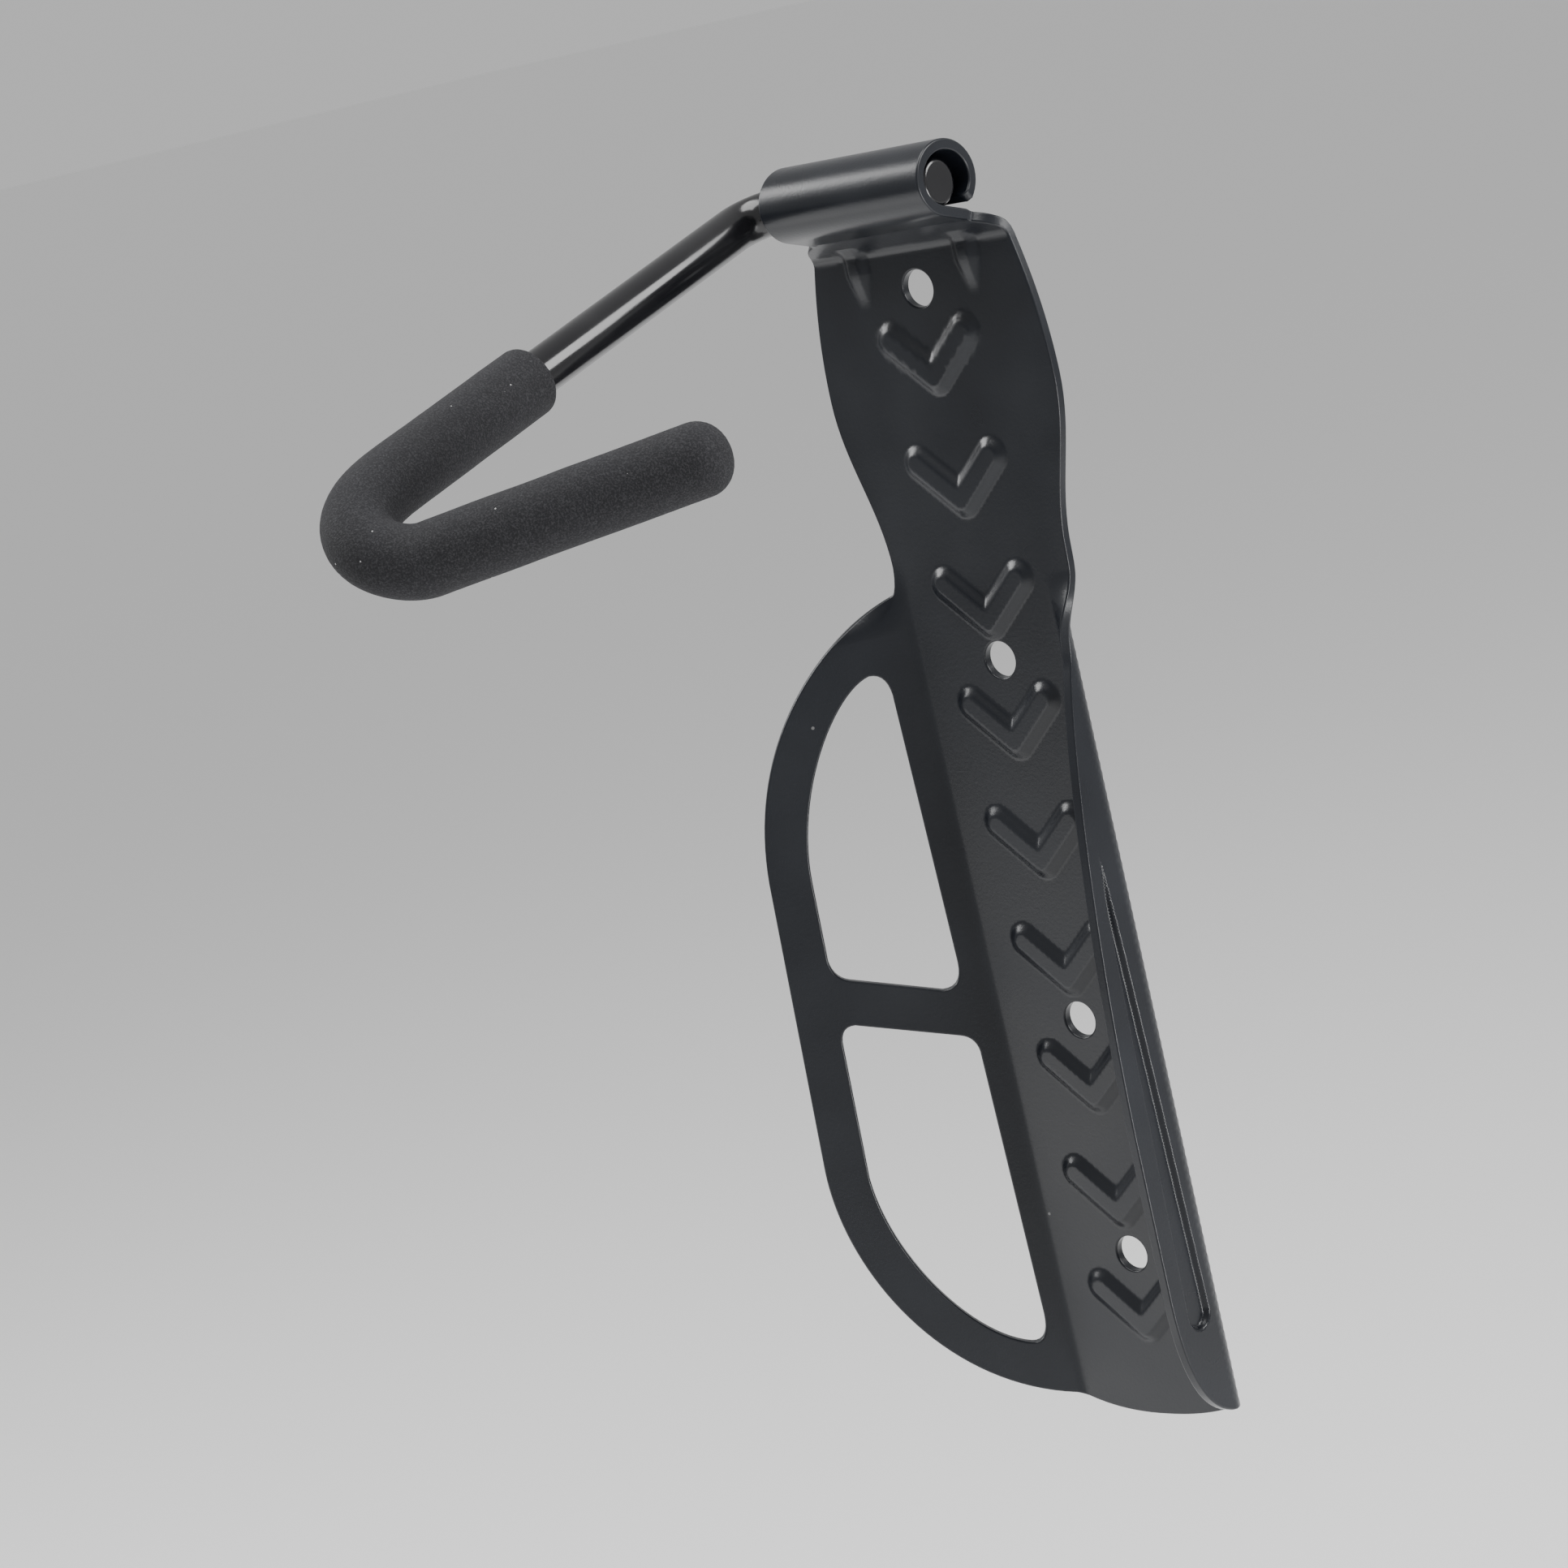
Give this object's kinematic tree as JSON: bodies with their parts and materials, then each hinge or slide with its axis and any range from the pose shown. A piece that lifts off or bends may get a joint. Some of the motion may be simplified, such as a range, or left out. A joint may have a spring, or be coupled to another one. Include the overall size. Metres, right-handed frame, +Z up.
{
  "type": "bicycle wall rack",
  "caption": "Stamped steel wall plate with a folded tyre tray and a rolled barrel that carries a foam-sleeved wheel hook.",
  "frame": {"origin": "middle of the top screw hole, in the plane of the wall", "axes": "+Z up, +Y into the wall, +X to the right as seen from the room"},
  "size_m": [0.0978, 0.1592, 0.2895],
  "materials": {
    "plate_steel": "satin black powder coat",
    "rod_steel": "glossy black enamel",
    "sleeve_foam": "matt closed-cell foam with a fine grain"
  },
  "bodies": {
    "plate": {"backplate": "plate_steel"},
    "hook": {"hook_rod": "rod_steel", "foam_sleeve": "sleeve_foam"}
  },
  "joints": [
    {"name": "hook_hinge", "type": "hinge", "parent": "plate", "child": "hook", "pos_m": [0, -0.0124, 0.0223], "axis": [-1, 0, 0], "range_deg": [0, 90]}
  ]
}
